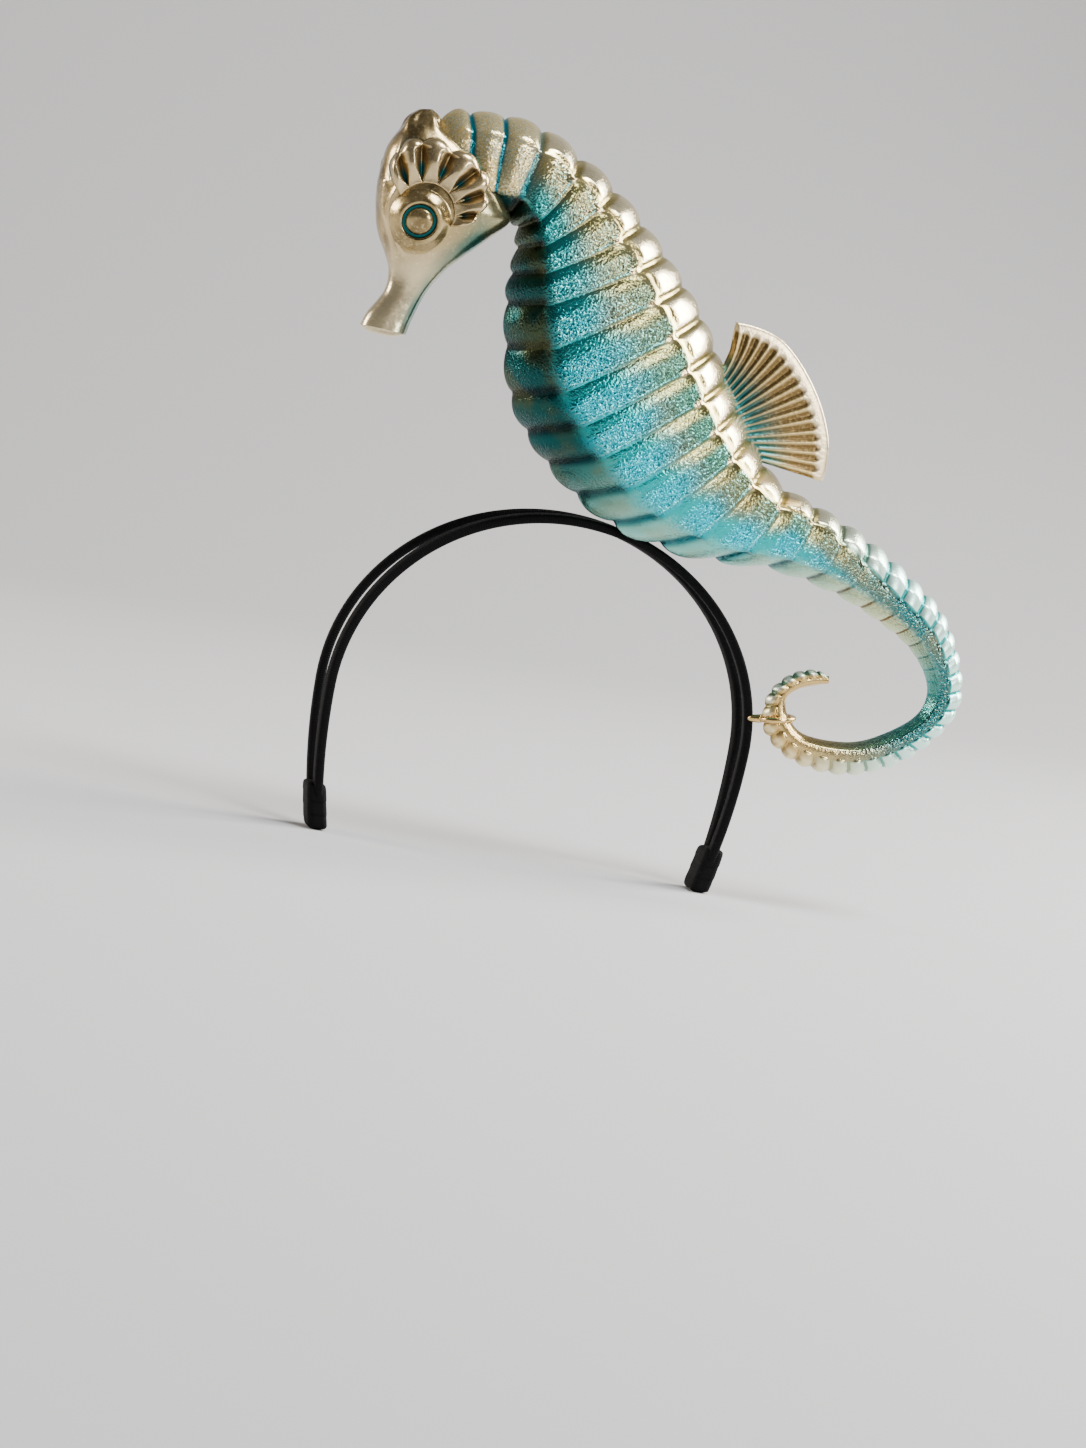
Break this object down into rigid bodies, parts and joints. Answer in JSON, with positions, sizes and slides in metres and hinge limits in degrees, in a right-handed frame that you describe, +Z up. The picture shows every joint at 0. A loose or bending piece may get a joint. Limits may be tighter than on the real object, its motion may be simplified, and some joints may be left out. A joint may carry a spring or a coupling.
{
  "type": "seahorse fascinator",
  "caption": "Fascinator with a gold and turquoise ringed seahorse, ribbed dorsal fin and curled tail, standing on a double black ribbon-wrapped headband",
  "frame": {"origin": "crown of the wearer's head, under the top of the two bands and midway between them", "axes": "+Z up along the wearer's head, +X to the wearer's left, -Y to the front"},
  "size_m": [0.2494, 0.0545, 0.2649],
  "materials": {
    "ribbon": "black woven ribbon, faint sheen",
    "turquoise_paint": "hammered metallic paint, turquoise with gold on the raised parts",
    "gold_paint": "metallic bronze-gold paint with dark teal recesses",
    "gold_wire": "polished gold-coloured wire"
  },
  "bodies": {
    "root": {"band_front": "ribbon", "band_rear": "ribbon", "end_wrap_right": "ribbon", "end_wrap_left": "ribbon", "body": "turquoise_paint", "head": "gold_paint", "cheek_fan_left": "gold_paint", "cheek_fan_right": "gold_paint", "eye_left": "gold_paint", "eye_right": "gold_paint", "dorsal_fin": "gold_paint", "tail_tie": "gold_wire"}
  },
  "joints": []
}
